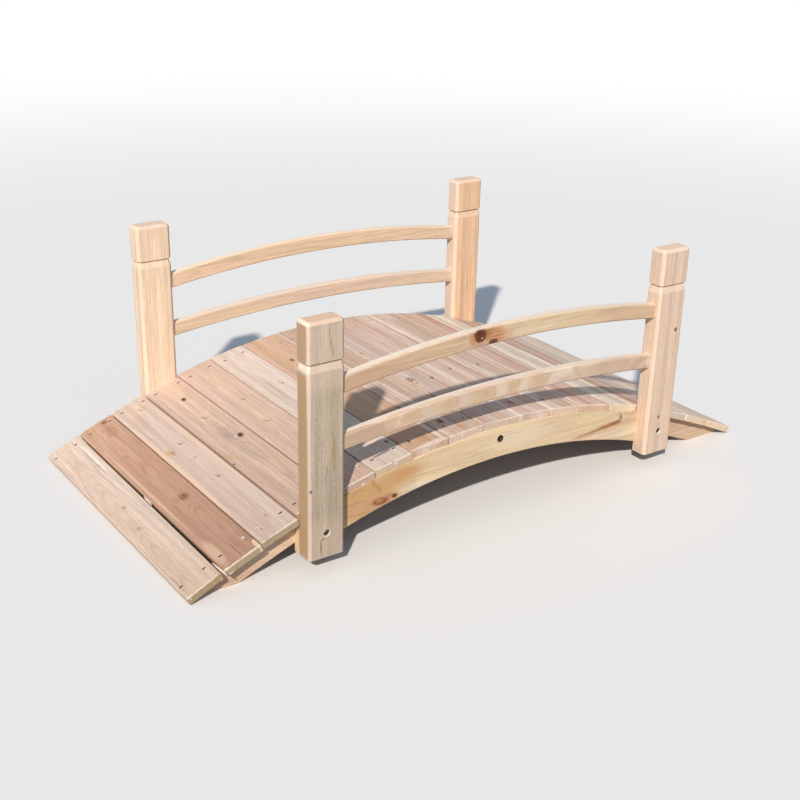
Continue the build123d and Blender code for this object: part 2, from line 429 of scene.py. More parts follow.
cedar_group, given, result = new_group(
    "cedar colour",
    {"colour": "Pale, Warm, Deep, Hue, End Tone",
     "value": "Hue Share, Late Wood, Ring Strength, Fine, Line, Streak, Blush, Mottle, Contrast, Fleck, "
              "Fleck Strength, Disc, Glow, End, Kerf, Worn, Upward, Bleach, Planed, Clean, Shade"},
    {"colour": "Colour", "value": "Roughness, Height"})
streaks = calc("MULTIPLY_ADD", given["Line"], 0.35, times(given["Streak"], 0.65))
colour = mix_colour(ease(streaks, 0.4, 0.6), given["Pale"], given["Warm"])
hued = times(ease(given["Blush"], 0.48, 0.57), given["Hue Share"])
colour = mix_colour(hued, colour, given["Hue"])
rings = times(given["Late Wood"], given["Ring Strength"])
colour = mix_colour(rings, colour, given["Deep"])
texture = plus(ease(given["Line"], 0.3, 0.7, -0.12, 0.1),
               ease(given["Fine"], 0.28, 0.72, -0.11, 0.11))
texture = plus(texture, ease(given["Mottle"], 0.3, 0.7, -0.05, 0.05))
colour = shaded(colour, calc("MULTIPLY_ADD", texture, given["Contrast"], 1))
flecks = times(given["Fleck"], given["Fleck Strength"])
colour = mix_colour(flecks, colour, FLECK_BROWN)
colour = mix_colour(times(given["Glow"], 0.5), colour, KNOT_GLOW)
colour = mix_colour(given["Disc"], colour, KNOT_BROWN)
# Chamfers are painted pale: partly fresh planed wood, partly painted light where they face the light.
planed_and_lit_share = times(given["Planed"], given["Clean"])
colour = mix_colour(planed_and_lit_share, colour, FRESH_AND_LIT)
ends = mix_colour(0.85, colour, given["End Tone"])
ends = shaded(ends, ease(given["Kerf"], 0.3, 0.7, 0.84, 1.1))
colour = mix_colour(given["End"], colour, ends)
# Painted light: faces that look up are painted paler, as if lit more from above.
colour = mix_colour(times(given["Upward"], given["Bleach"]), colour, LIT_AND_WORN_PALE)
# Edges are painted pale: partly wear, partly painted highlights where the light catches them.
edges = mix_colour(0.5, given["Pale"], LIT_AND_WORN_PALE)
colour = mix_colour(times(given["Worn"], 0.6), colour, edges)
roughness = calc("MULTIPLY_ADD", given["Fine"], 0.16, 0.62)
roughness = calc("ADD", roughness, times(given["End"], 0.15), clamp=True)
roughness = calc("SUBTRACT", roughness, times(given["Disc"], 0.12))
height = calc("MULTIPLY_ADD", given["Line"], 0.8, times(given["Fine"], 0.55))
height = plus(height, times(given["Late Wood"], 0.3))
sawn = times(given["Kerf"], given["End"])
height = plus(height, times(sawn, 1.6))
height = calc("SUBTRACT", height, times(given["Fleck"], 0.3))
wire(result, {"Colour": shaded(colour, given["Shade"]), "Roughness": roughness, "Height": height})
print("cedar colour:", len(tree.nodes), "nodes")

# %% [markdown]
# ## Cedar for each piece
# One function builds a piece's material from where its log lies, its tones, how wide its rings are,
# where the pith runs, and its knots and patches. Places and sizes are in millimetres in the log's
# coordinates.

# %% Cedar material
BUMP_DEPTH = 0.6 * MM
WORN_EDGE = 1.4 * MM


def metres(values):
    return Vector(values) * MM


def reach(size):
    """One over each half size, where a half size of nought stands for one without end."""
    return [1 / (half * MM) if half else 0 for half in size]


def knot(place, size, push=6, dark=0.8, hollow=0):
    return {"Centre": metres(place), "Reach": reach(size), "Strength": push * MM,
            "Darkness": dark, "Hollow": hollow}


def patch(place, size, paint, share=0.5, soft=0.6):
    return {"Centre": metres(place), "Reach": reach(size), "Tone": paint, "Share": share, "Soft": soft}


def tinted(colour, red, green, blue):
    return min(1, colour[0] * red), min(1, colour[1] * green), min(1, colour[2] * blue), 1


def cedar(name, lay, base, hue, seed, pith=(0, -60), lean=(0, 0), ring_width=4, wander=6,
          rings=0.35, flecks=0.15, hue_share=0.5, contrast=1, deep=None, end=None, bleach=0, clean=0,
          level=1, fade=0, rag=(6, 3.5), rag_waves=(70, 130), knots=(), patches=(), sharp=()):
    """A cedar material for a piece whose log lies as the matrix lay says."""
    made, place = new_material(name)
    turned = {"Vector": place, "Location": lay.translation, "Rotation": lay.to_euler()}
    log = add("Mapping", turned, vector_type="TEXTURE").outputs[0]
    uneven = swirl(log, (rag_waves[0], rag_waves[1], rag_waves[1]), 2)
    uneven = vector_calc("MULTIPLY", uneven, metres((rag[0], rag[1], rag[1])))
    ragged = vector_calc("ADD", log, uneven)
    chain = {"Push": 0, "Disc": 0, "Glow": 0}
    for each in knots:
        sockets = use(knot_group, {"Vector": ragged, **each, **chain})
        chain = {label: sockets[label] for label in chain}
    grown = use(rings_group, {
        "Vector": log, "Pith": metres((0, *pith)), "Lean": (0, *lean), "Ring Width": ring_width * MM,
        "Wander": wander * MM, "Seed": seed, "Push": chain.pop("Push")})
    fibres = use(fibre_group, {"Vector": log, "Seed": seed})
    grain = lay.to_3x3() @ Vector((1, 0, 0))
    sawn = dict(use(surface_group, {"Vector": log, "Grain": grain, "Edge": WORN_EDGE}).items())
    rounded = sawn.pop("Rounded")
    # Shade is the piece's level of tone plus fade along the grain. On the boards fade is painted light: they
    # are painted darker towards their near ends.
    wood = use(cedar_group, {
        "Pale": tinted(base, 1.08, 1.08, 1.08), "Warm": tinted(base, 0.94, 0.92, 0.89),
        "Deep": deep or tinted(base, 0.68, 0.57, 0.48), "Hue": hue, "Hue Share": hue_share,
        "End Tone": end or tinted(base, 1.02, 0.98, 0.93), "Late Wood": grown["Late Wood"],
        "Ring Strength": rings, "Fleck Strength": flecks, "Contrast": contrast, "Bleach": bleach,
        "Clean": clean, "Shade": calc("MULTIPLY_ADD", parts(log)["X"], fade, level),
        **chain, **dict(fibres.items()), **sawn})
    colour = wood["Colour"]
    for each in patches:
        colour = use(patch_group, {"Vector": ragged, "Colour": colour, **each})["Colour"]
    for each in sharp:
        colour = use(patch_group, {"Vector": log, "Colour": colour, **each})["Colour"]
    bumps = {"Height": wood["Height"], "Distance": BUMP_DEPTH, "Strength": 0.7, "Normal": rounded}
    end_material(bumps, {"Base Color": colour, "Roughness": wood["Roughness"],
                               "Specular IOR Level": 0.25})
    return made


print("bumps are", BUMP_DEPTH, "m high at most")

# %% [markdown]
# ### Tones
# Fresh cedar runs from near white sapwood to orange and brown heartwood. A handful of named tones
# covers most of the bridge.

# %% Tones and log coordinates
IVORY = tone(246, 232, 214)
SHELL = tone(234, 215, 201)
OAT = tone(230, 204, 184)
STRAW = tone(228, 204, 168)
PEACH = tone(232, 202, 174)
ROSE = tone(220, 190, 173)
ASH = tone(216, 197, 182)
FAWN = tone(209, 182, 163)
APRICOT = tone(214, 178, 150)
CLAY = tone(199, 158, 134)
TAN = tone(199, 171, 143)
DUSK = tone(168, 148, 138)
HONEY = tone(205, 160, 108)
AMBER = tone(188, 158, 100)
EMBER = tone(204, 142, 100)
RUST = tone(160, 104, 72)
SHADOW = tone(96, 78, 66)
PITCH = tone(34, 26, 22)

ALONG_X = Matrix.Identity(4)
ALONG_Y = Matrix(((0, -1, 0), (1, 0, 0), (0, 0, 1))).to_4x4()
ALONG_Z = Matrix(((0, 1, 0), (0, 0, 1), (1, 0, 0))).to_4x4()


def middle_of(name):
    low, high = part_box(name)
    return (low + high) / 2


def dress(name, material):
    """Gives a node of the frame its finish."""
    for slot in nodes[name].material_slots:
        slot.material = material


def saw(name, lay, *tones, **looks):
    """Gives a node of the frame cedar of its own."""
    dress(name, cedar("cedar " + name, lay, *tones, **looks))


print("tones from", [round(v, 2) for v in PITCH[:3]], "to", [round(v, 2) for v in IVORY[:3]])

# %% [markdown]
# ## Deck boards
# The boards are sawn stock with eased edges, laid across the stringers and stapled. Their places
# come from the frame: the long flat face gives each board's slope. A place on a board is given as
# its distance across, towards the right end of the bridge, and along.

# %% Board places
def board_lay(name):
    """The place of a deck board as a matrix, and its size, read from its mesh in the frame."""
    mesh = nodes[name].data
    top = max(mesh.polygons, key=lambda face: face.area * face.normal.z)
    turn = Matrix.Rotation(math.atan2(top.normal.x, top.normal.z), 3, "Y")
    flat = [turn.inverted() @ vertex.co for vertex in mesh.vertices]
    low = Vector([min(point[axis] for point in flat) for axis in range(3)])
    high = Vector([max(point[axis] for point in flat) for axis in range(3)])
    return Matrix.Translation(turn @ ((low + high) / 2)) @ turn.to_4x4(), high - low


def on_board(across, along):
    return along, -across, 0


board_names = sorted(name for name in nodes if name.startswith("deck_board"))
lays = {name: board_lay(name) for name in board_names}
print(len(lays), "boards, sloping", [round(math.degrees(lay.to_euler().y), 1) for lay, size in lays.values()])

# %% [markdown]
# ### The first boards
# The nearest boards show most. The first is pale with a long grey tear beside a torn, light strip,
# the second a brown heartwood board with two ringed knots and a crack at its near end, and the
# third is pale and pinkish with a rusty stain.

# %% Finishes of boards one to three
board_looks = {}


def board(number, base, hue, pith, ring_width, rings, knots=(), patches=(), **others):
    """Notes a board's looks. A knot or patch is a row: its place, its two half sizes, and the rest."""
    placed = [[make(on_board(across, along), (wide, high, 0), *rest)
               for across, along, wide, high, *rest in rows]
              for make, rows in ((knot, knots), (patch, patches))]
    board_looks[number] = dict(base=base, hue=hue, pith=pith, ring_width=ring_width, rings=rings,
                               knots=placed[0], patches=placed[1], **others)


def pin(across, along, dark=0.75):
    """Rows for a pin knot, a dark point with two short strokes beside it."""
    return [(across, along, 3.2, 2.2, 3, dark), (across - 3, along + 7, 5.5, 1.3, 1, dark * 0.6),
            (across + 5, along - 2, 1.4, 4, 1, dark * 0.5)]


def prised(across, along):
    """Rows for a staple that stands proud: a pale spot round it, partly torn wood and partly a painted
    highlight, and painted shade beside it.
    """
    # The ivory spot is partly a painted highlight, and the dark one beside it is painted shade.
    return [(across, along, 6, 4, IVORY, 0.9, 0.4), (across + 2, along - 7, 6, 2, SHADOW, 0.7)]


board(1, OAT, SHELL, (14, -30), 3.4, 0.32, lean=(-0.02, -0.05), level=0.91, fade=0.2,
      end=tone(190, 162, 122),
      knots=[(-4, 7, 6, 3, 3, 0.5, 0.7), (-12, -86, 6, 3, 3, 0.4, 0.7)],
      patches=[(28, 240, 98, 4.5, IVORY, 0.8, 0.5), (22, 232, 114, 2.4, DUSK, 0.85, 0.7),
               (14, 196, 72, 1.6, DUSK, 0.6, 0.8), (8, 250, 60, 1.3, CLAY, 0.5, 0.8),
               (-18, 262, 70, 1.1, CLAY, 0.6, 0.8), (-24, 236, 54, 1, CLAY, 0.6, 0.8),
               (-30, 215, 60, 1.1, CLAY, 0.5, 0.8), (-34, -318, 52, 1.6, SHADOW, 0.6, 0.8),
               (-29, -326, 42, 1.4, DUSK, 0.8, 0.8), (-25, -300, 60, 1.2, DUSK, 0.5, 0.8)])
board(2, CLAY, APRICOT, (-6, -30), 3.4, 0.34, lean=(0.02, -0.04), level=0.91, fade=0.4,
      end=tone(206, 186, 152),
      knots=[(18, 347, 8, 6, 6, 0.85, 0.7), (13, -85, 11, 8, 9, 0.9, 0.75), (13, -84, 5, 1.8, 0, 1),
             (14, 346, 3, 1.6, 0, 1)],
      patches=[*prised(29, -315), (-9, 166, 14, 5, RUST, 0.4), (2, -324, 42, 1.5, SHADOW, 0.7, 0.7),
               (14, 296, 42, 20, RUST, 0.3), (-4, 90, 90, 7, RUST, 0.2), (-30, -300, 70, 14, PEACH, 0.45),
               (-33, 40, 300, 5, PEACH, 0.5), (-38, 60, 260, 1.6, RUST, 0.45, 0.8),
               (40, -352, 20, 8, PEACH, 0.9, 0.4)])
board(3, tone(221, 196, 182), SHELL, (14, -46), 4.2, 0.18, lean=(0.01, 0.02), level=0.89, fade=0.24,
      contrast=0.7, end=tone(192, 170, 138),
      knots=[*pin(12, 301), *pin(20, 308, 0.5), *pin(8, 89), *pin(8, -94, 0.85)],
      patches=[(-24, 98, 26, 7, PEACH, 0.6), (8, -297, 9, 5, DUSK, 0.8), (-38, 0, 330, 9, PEACH, 0.75),
               (36, 60, 300, 9, PEACH, 0.65), (0, 330, 60, 50, PEACH, 0.4), (0, 0, 150, 26, ROSE, 0.35),
               (5, 14, 9, 6, HONEY, 0.5, 0.9), (7, 14, 2.4, 1.8, RUST, 0.9),
               (-24, 84, 26, 13, HONEY, 0.7, 0.95), (-19, 72, 16, 6, RUST, 0.6, 0.9), *prised(-23, -317)])
print("boards described:", sorted(board_looks))

# %% [markdown]
# ### Boards four to seven
# These run under the first rails. The fourth is pink with a grey band and two dark knots, the fifth
# plain pink, the sixth nearly white and the seventh orange.

# %% Finishes of boards four to seven
board(4, ROSE, PEACH, (-10, -38), 3.8, 0.28, lean=(0.02, 0.02), level=0.91, fade=0.32,
      knots=[(6, 245, 7, 4.5, 4, 1), (21, -6, 9, 6, 7, 1), *pin(1, 126, 0.5),
             (2, 20, 9, 4, 3, 0.4, 0.8)],
      patches=[(2, -10, 170, 16, DUSK, 0.42), (-35, -58, 32, 9, HONEY, 0.6, 0.95),
               (4, 22, 48, 22, DUSK, 0.3), (12, -2, 9, 7, SHELL, 0.55), (-42, -92, 4, 4, SHADOW, 0.9),
               (-20, -230, 120, 9, DUSK, 0.3)])
board(5, ROSE, PEACH, (12, -42), 4, 0.26, lean=(-0.02, 0.03), level=0.94, fade=0.32,
      knots=[*pin(7, 119, 0.6), *pin(-4, -11, 0.5)],
      patches=[(30, -150, 120, 6, ASH, 0.5), *prised(33, -315)])
board(6, SHELL, ASH, (6, -50), 4.2, 0.2, lean=(0.01, -0.02), level=0.92, fade=0.2, end=PEACH,
      knots=[*pin(14, 110, 0.6), (34, -287, 5, 4, 2, 1)],
      patches=[(-10, 60, 220, 5, DUSK, 0.35), (24, -40, 160, 4, DUSK, 0.35), (22, -262, 60, 14, CLAY, 0.4),
               (-4, -200, 120, 14, DUSK, 0.25)])
board(7, APRICOT, ROSE, (-8, -36), 3.6, 0.3, lean=(0.03, 0.02), level=0.98, fade=0.26, end=APRICOT,
      knots=[(-1, 197, 7, 4, 4, 0.9), (-24, -322, 4, 3, 0, 0.9)],
      patches=[(20, 0, 240, 10, ASH, 0.45), (37, -300, 75, 8, SHELL, 0.9, 0.4),
               (4, -356, 8, 60, SHELL, 0.8, 0.5), (4, -325, 24, 16, EMBER, 0.35)])
print("boards described:", sorted(board_looks))

# %% [markdown]
# ### Boards of the crown and the far side
# Here each board is a few narrow stripes of pink, grey and orange, with a pin hole or a torn place
# now and then.

# %% Finishes of boards eight to seventeen
board(8, FAWN, SHELL, (20, -40), 3.4, 0.26, level=0.98, end=OAT,
      knots=[(-16, -292, 9, 6, 4, 1)],
      patches=[(-30, 60, 280, 6, PEACH, 0.6), (-38, -330, 40, 5, SHELL, 0.8), (0, -340, 20, 24, EMBER, 0.4)])
board(9, ROSE, SHELL, (-16, -34), 3.6, 0.26, level=0.88, end=OAT,
      knots=[(15, -93, 6, 3, 3, 1), (-33, -80, 13, 7, 5, 0.8, 0.8), (-34, -96, 8, 3, 2, 0.7, 0.6)],
      patches=[(-33, -92, 9, 4, IVORY, 0.8), (-38, 120, 14, 5, EMBER, 0.9),
               (-42, -160, 220, 2.6, EMBER, 0.8), (26, 40, 260, 9, SHELL, 0.6)])
board(10, ROSE, SHELL, (14, -44), 4, 0.22, end=OAT,
      knots=[(-2, -62, 5, 3, 2, 0.8), (-12, -294, 9, 5, 2, 0.8)],
      patches=[(-36, 30, 300, 7, SHELL, 0.7), (36, 0, 300, 3, EMBER, 0.5)])
board(11, FAWN, SHELL, (-20, -38), 3.8, 0.28, level=1.04, end=PEACH,
      knots=[(-9, -60, 6, 3, 3, 1), (-21, -307, 9, 5, 2, 0.8)],
      patches=[(30, 0, 300, 9, SHELL, 0.6), (-41, -80, 240, 2.4, EMBER, 0.6)])
board(12, ROSE, CLAY, (10, -36), 3.8, 0.24, level=1.1, end=APRICOT,
      patches=[(-12, 0, 280, 4, CLAY, 0.4), (24, 60, 260, 7, SHELL, 0.6), (38, -250, 60, 3, EMBER, 0.6)])
board(13, ASH, IVORY, (-12, -40), 3.6, 0.24, level=1.12, end=STRAW,
      patches=[(-38, -60, 240, 4, IVORY, 0.7), (10, 20, 260, 8, SHELL, 0.6)])
board(14, ROSE, CLAY, (8, -42), 3.8, 0.26,
      patches=[(-42, -46, 160, 4, IVORY, 0.7), (20, 40, 220, 6, DUSK, 0.4)])
board(15, ASH, SHELL, (-8, -46), 4, 0.2, level=1.08, end=ASH,
      patches=[(12, 60, 220, 5, CLAY, 0.4)])
board(16, SHELL, PEACH, (12, -40), 3.6, 0.22, level=1.12, end=PEACH,
      patches=[(-18, 0, 260, 5, DUSK, 0.3)])
board(17, OAT, SHELL, (-14, -44), 3.8, 0.22, level=1.08, end=PEACH)
print("boards described:", len(board_looks))

# %% Board materials
LOOKS_SEED = 31
STREAK_TONES = (IVORY, SHELL, ASH, DUSK, CLAY, EMBER)
HALF_BOARD = 40


def streaks(draw, count):
    """Long thin streaks, in places that no two boards share."""
    return [patch(on_board(draw.uniform(-HALF_BOARD, HALF_BOARD), draw.uniform(-260, 260)),
                  (draw.uniform(90, 320), draw.uniform(0.9, 3.4), 0), draw.choice(STREAK_TONES),
                  draw.uniform(0.3, 0.65), 0.8) for each in range(count)]


def torn_end(draw, reach_along):
    """A painted highlight along the top rim of one end, where torn fibres also show, and pale fibres where
    the saw tore the end's face.
    """
    # The pale band along the top rim is a painted highlight as well as torn fibres.
    lit_rims = [patch((reach_along, 0, 8), (5, 0, 3.5), IVORY, 0.75, 0.7)]
    return lit_rims + [patch((reach_along, draw.uniform(-HALF_BOARD, HALF_BOARD), draw.choice((-7, 2, 8))),
                         (draw.uniform(3, 9), draw.uniform(2, 6), draw.uniform(1.5, 4)),
                         draw.choice((IVORY, SHELL, TAN)), 0.8, 0.5) for each in range(3)]


board_finishes = {}
for number, name in enumerate(board_names, start=1):
    lay, size = lays[name]
    draw = random.Random(LOOKS_SEED + number)
    looks = dict(contrast=1.3, hue_share=0.9) if number > 7 else dict(contrast=0.85)
    looks.update(board_looks[number])
    torn = torn_end(draw, -size.y / 2 / MM) + torn_end(draw, size.y / 2 / MM)
    looks["patches"] = [*streaks(draw, 6 if number > 7 else 2 if number > 3 else 0), *looks["patches"], *torn]
    board_finishes[name] = cedar("cedar " + name, lay @ ALONG_Y, seed=number * 1.7 + 3, **looks)
print(len(board_finishes), "board finishes")

# %% [markdown]
# ### Board shapes
# A sawn board is not a perfect block. Its long edges are eased, its ends were docked by hand and
# are never quite square, and a staple that was shot below the surface leaves a slot, painted dark
# with iron stain and painted shade. The block is cut with bisecting planes round each slot, the
# slot's faces are inset downwards, and the ends are pulled in column by column.

# %% Helpers for modelling
SMOOTH_ANGLE = math.radians(40)


def start_from_cube(name, size):
    """A new box of this size round the origin, left in edit mode."""
    bpy.ops.object.select_all(action="DESELECT")
    bpy.ops.mesh.primitive_cube_add(size=1)
    piece = bpy.context.object
    piece.name = name
    piece.data.name = name
    bpy.ops.object.mode_set(mode="EDIT")
    bpy.ops.transform.resize(value=size)
    return piece


def pick(piece, kind, test):
    """Selects just those vertices, edges or faces of the piece for which the test holds."""
    bpy.ops.mesh.select_mode(type={"verts": "VERT", "edges": "EDGE", "faces": "FACE"}[kind])
    bpy.ops.mesh.select_all(action="DESELECT")
    mesh = bmesh.from_edit_mesh(piece.data)
    for part in getattr(mesh, kind):
        if test(part):
            part.select_set(True)
    bmesh.update_edit_mesh(piece.data, loop_triangles=False, destructive=False)


def cut(place, normal):
    """Cuts the whole piece in edit mode with a plane, without taking anything away."""
    bpy.ops.mesh.select_all(action="SELECT")
    bpy.ops.mesh.bisect(plane_co=place, plane_no=normal)


def finish_piece(piece, lay, node=None):
    """Lays a modelled piece in its place, attaches it to the root and hides the frame's node it stands for.
    """
    bpy.ops.object.mode_set(mode="OBJECT")
    piece.matrix_world = lay
    bpy.ops.object.transform_apply(location=True, rotation=True, scale=True)
    bpy.ops.object.shade_smooth_by_angle(angle=SMOOTH_ANGLE)
    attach(piece, "root")
    if node:
        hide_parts(node)


# %% Staple places
STAPLE_CROWN = 8 * MM
SLOT_WIDTH = 3.6 * MM
THIN_SLOT = 2.2 * MM
SLOT_DEPTH = 3.2 * MM
STAPLE_ACROSS = 28
STAPLE_ALONG = 322
SEEN_STAPLES = {
    1: [(-32, 331), (22, 334), (22, -320), (-33, -323)], 2: [(29, 338), (-24, 336), (29, -315), (-27, -319)],
    3: [(31, 334), (-25, 339), (30, -317), (-23, -317)], 4: [(-27, 330), (33, 326), (-28, -318), (26, -320)],
    5: [(33, -315), (-24, -318), (-27, 324), (28, 328)], 6: [(-27, -323), (29, -320), (-25, 322), (27, 326)]}
STAPLES_SEED = 11
RAISED_STAPLES = {2: (29, -315), 3: (-23, -317), 5: (33, -315)}

draw = random.Random(STAPLES_SEED)
staples = {}
raised = {}
for number, name in enumerate(board_names, start=1):
    places = SEEN_STAPLES.get(number) or [
        (side * STAPLE_ACROSS + draw.randint(-4, 4), end * (STAPLE_ALONG + draw.randint(-22, 0)))
        for side in (-1, 1) for end in (-1, 1)]
    staples[name] = [(across * MM, along * MM) for across, along in places]
    raised[name] = [place == RAISED_STAPLES.get(number) for place in places]
print(sum(len(places) for places in staples.values()), "staples")

# %% Staple slot finish, iron stain and painted shade
slot_stain_and_shade, place = new_material("stained and shaded slot")
crushed = noise(place, (700, 700, 700), 3, 0.6)
colour = mix_colour(ease(crushed, 0.35, 0.65), PITCH, SHADOW)
end_material({"Height": crushed, "Distance": 0.5 * MM, "Strength": 0.8},
             {"Base Color": colour, "Roughness": 0.95})
print("slot finish:", len(tree.nodes), "nodes")

# %% Boards
BOARD_EDGE = 1.8 * MM
END_PULL = 1.8 * MM
END_SKEW = 1.8 * MM
END_DEPTH = 4 * MM
GAP_PLAY = 0.8 * MM
FIRST_GAP_EXTRA = 0.6 * MM
FIRST_TAPER = 4.2 * MM
OUTER_EDGE_BACK = 0.1 * MM
SLOT_LIP = 0.3 * MM
NEAR = 0.1 * MM
SHAPES_SEED = 23


def places_of(piece, axis, test=lambda spot: True):
    """The places along an axis at which the piece has vertices that pass the test."""
    return sorted({round(vertex.co[axis], 5) for vertex in bmesh.from_edit_mesh(piece.data).verts
                   if test(vertex.co)})


def model_board(name, width, size, slots, slot_width, taper, draw):
    """A deck board round the origin, with eased edges, staple slots and hand-cut ends."""
    piece = start_from_cube(name, (width, size.y, size.z))
    pick(piece, "edges", lambda edge: abs(edge.verts[0].co.y - edge.verts[1].co.y) > size.y / 2)
    bpy.ops.mesh.bevel(offset=BOARD_EDGE, segments=3, affect="EDGES")
    for place in sorted({across + side * STAPLE_CROWN / 2 for across, along in slots for side in (-1, 1)}):
        cut((place, 0, 0), (1, 0, 0))
    for place in sorted({along + side * slot_width / 2 for across, along in slots for side in (-1, 1)}):
        cut((0, place, 0), (0, 1, 0))

    def in_slot(face, top):
        """Whether a face lies within a slot as seen from above, and its middle below this height."""
        middle = face.calc_center_median()
        return 0 < middle.z < top and any(
            abs(middle.x - across) <= STAPLE_CROWN / 2 and abs(middle.y - along) <= slot_width / 2
            for across, along in slots)

    pick(piece, "faces", lambda face: in_slot(face, size.z))
    bpy.ops.mesh.inset(thickness=SLOT_LIP, depth=-SLOT_DEPTH)
    # The walls and floor of each slot get the dark slot finish: iron stain and painted shade.
    pick(piece, "faces", lambda face: in_slot(face, size.z / 2 - 2 * NEAR))
    piece.data.materials.append(board_finishes[name.replace("board", "deck_board")])
    piece.data.materials.append(slot_stain_and_shade)
    piece.active_material_index = 1
    bpy.ops.object.material_slot_assign()
    for row in places_of(piece, 1) if taper else ():
        pick(piece, "verts", lambda vertex: abs(vertex.co.y - row) < NEAR
             and vertex.co.x > width / 2 - BOARD_EDGE - NEAR)
        bpy.ops.transform.translate(value=(-taper * (0.5 - row / size.y), 0, 0))
    for end in (-1, 1):
        skew = draw.uniform(-END_SKEW, END_SKEW)
        for column in places_of(piece, 0, lambda spot: spot.y * end > size.y / 2 - NEAR):
            pull = abs(skew) + skew * column / (width / 2) + draw.uniform(0, END_PULL) * 0.5
            pick(piece, "verts", lambda vertex: abs(vertex.co.x - column) < NEAR / 5
                 and vertex.co.y * end > size.y / 2 - END_DEPTH)
            bpy.ops.transform.translate(value=(0, -end * pull, 0))
    return piece


draw = random.Random(SHAPES_SEED)
for number, name in enumerate(board_names, start=1):
    lay, size = lays[name]
    first = number == 1
    spare = draw.uniform(0, GAP_PLAY) + (FIRST_GAP_EXTRA if first else 0)
    slot_width = SLOT_WIDTH if number in SEEN_STAPLES else THIN_SLOT
    sunk = [place for place, high in zip(staples[name], raised[name]) if not high]
    piece = model_board(name.replace("deck_board", "board"), size.x - spare, size, sunk, slot_width,
                        FIRST_TAPER if first else 0, draw)
    shift = OUTER_EDGE_BACK - spare / 2 if first else draw.uniform(-spare, spare) / 2
    finish_piece(piece, lay @ Matrix.Translation((shift, 0, 0)), name)
print("boards modelled:", len(board_names))

# %% [markdown]
# ## Frame, rails and posts
# Stringers and facing arches are sawn from wide planks, so the grain runs straight through the
# curve. The near facing is straw yellow, honey coloured at its left with a knot, and a brown
# vein crosses its right half.

# %% Stringers and facings
def lay_of(name, turn):
    """A log's coordinates: X along the grain, with the origin at the piece's middle."""
    return Matrix.Translation(middle_of(name)) @ turn


def in_log(lay, x, y, z):
    """A place of the bridge, in millimetres, in the log's coordinates."""
    return lay.inverted() @ metres((x, y, z)) / MM


def pocket_bottom(lay, screw, face):
    """The bottom of a screw's pocket in the log's coordinates."""
    return in_log(lay, screw.x, face - math.copysign(POCKET_DEPTH, face), screw.z)


def spots_on(make, lay, face, rows, depth=0, log_upright=False):
    """Knots or patches on an upright face. A row says where along and up, two half sizes, and the rest."""
    return [make(in_log(lay, x, face, z), (high, wide, depth) if log_upright else (wide, depth, high), *rest)
            for x, z, wide, high, *rest in rows]


FACING_FACE = 364
POCKET_DEPTH = 12
FACING_KNOTS = [
    (-272, 105, 7, 4.5, 6, 1), (-305, 101, 26, 9, 10, 0.8, 0.55), (-350, 126, 26, 11, 8, 0.25, 0.95)]
FACING_PATCHES = [
    (-345, 112, 115, 60, HONEY, 0.85, 0.5), (-255, 150, 82, 34, HONEY, 0.8, 0.8),
    (-340, 98, 90, 24, CLAY, 0.35), (-256, 146, 58, 24, EMBER, 0.28, 0.95), (-238, 152, 34, 10, EMBER, 0.25),
    (-375, 112, 50, 1.6, RUST, 0.5), (-362, 86, 50, 1.6, RUST, 0.5), (-372, 138, 40, 1.5, RUST, 0.5),
    *[(-326 + 4 * step, 151 - 5 * step, 8, 7, RUST, 0.34, 0.95) for step in range(6)],
    (-284, 108, 22, 8, RUST, 0.45, 0.9), (-240, 122, 34, 12, TAN, 0.5), (-205, 112, 70, 8, IVORY, 0.4),
    (250, 114, 70, 8, EMBER, 0.35, 0.9), (320, 119, 60, 12, EMBER, 0.5, 0.9),
    (378, 118, 44, 12, CLAY, 0.6, 0.9), (240, 113, 36, 3.5, RUST, 0.5, 0.8),
    (275, 115.5, 36, 5.5, RUST, 0.7, 0.8), (308, 118.5, 36, 7, RUST, 0.85, 0.8),
    (336, 121, 30, 8, RUST, 0.95, 0.8), (350, 124, 13, 6, KNOT_BROWN, 0.5, 0.8),
    (356, 132, 7, 9, RUST, 0.9, 0.7), (351, 141, 4.5, 7, RUST, 0.55, 0.8), (385, 138, 32, 11, CLAY, 0.45),
    (380, 88, 50, 9, IVORY, 0.4), (325, 96, 60, 8, ASH, 0.5), (60, 155, 130, 34, IVORY, 0.3),
    (-305, 102, 36, 15, CLAY, 0.6, 0.9), (-305, 101, 26, 11, RUST, 1, 0.5),
    (-308, 103, 12, 4, HONEY, 0.6, 0.6), (-296, 99, 8, 5, KNOT_BROWN, 0.4, 0.8),
    (-318, 101, 5, 6, KNOT_BROWN, 0.4, 0.8), (-272, 105, 9, 6, KNOT_BROWN, 0.95, 0.5)]
for side, face in (("front", -FACING_FACE), ("back", FACING_FACE)):
    near = side == "front"
    name = "facing_arch_" + side
    lay = lay_of(name, ALONG_X)
    bottom = pocket_bottom(lay, middle_of("tie_screw_" + side) / MM, face)
    # Painted shade: the screw's pocket and a narrow rim round it are painted nearly black, and a small grey
    # spot on the pocket's wall is a painted glint.
    pocket_shade_and_light = [patch(bottom, (9.2, 0, 9.2), PITCH, 0.95, 0.2),
            patch(bottom + Vector((7, 6, 0)), (2.5, 4, 4), DUSK, 0.9, 0.4)]
    saw(name, lay, STRAW, PEACH, 5.3, pith=(40, -70), ring_width=4.6, rings=0.24, wander=8, hue_share=0.25,
        level=1.03, bleach=0.5, contrast=0.9, knots=spots_on(knot, lay, face, FACING_KNOTS if near else ()),
        patches=spots_on(patch, lay, face, FACING_PATCHES if near else ()), sharp=pocket_shade_and_light)
    name = "stringer_" + side
    lay = lay_of(name, ALONG_X)
    saw(name, lay, PEACH, CLAY, 8.1 + face / 1000, pith=(-30, 50), ring_width=4.4, rings=0.26)
print("stringers and facings dressed")
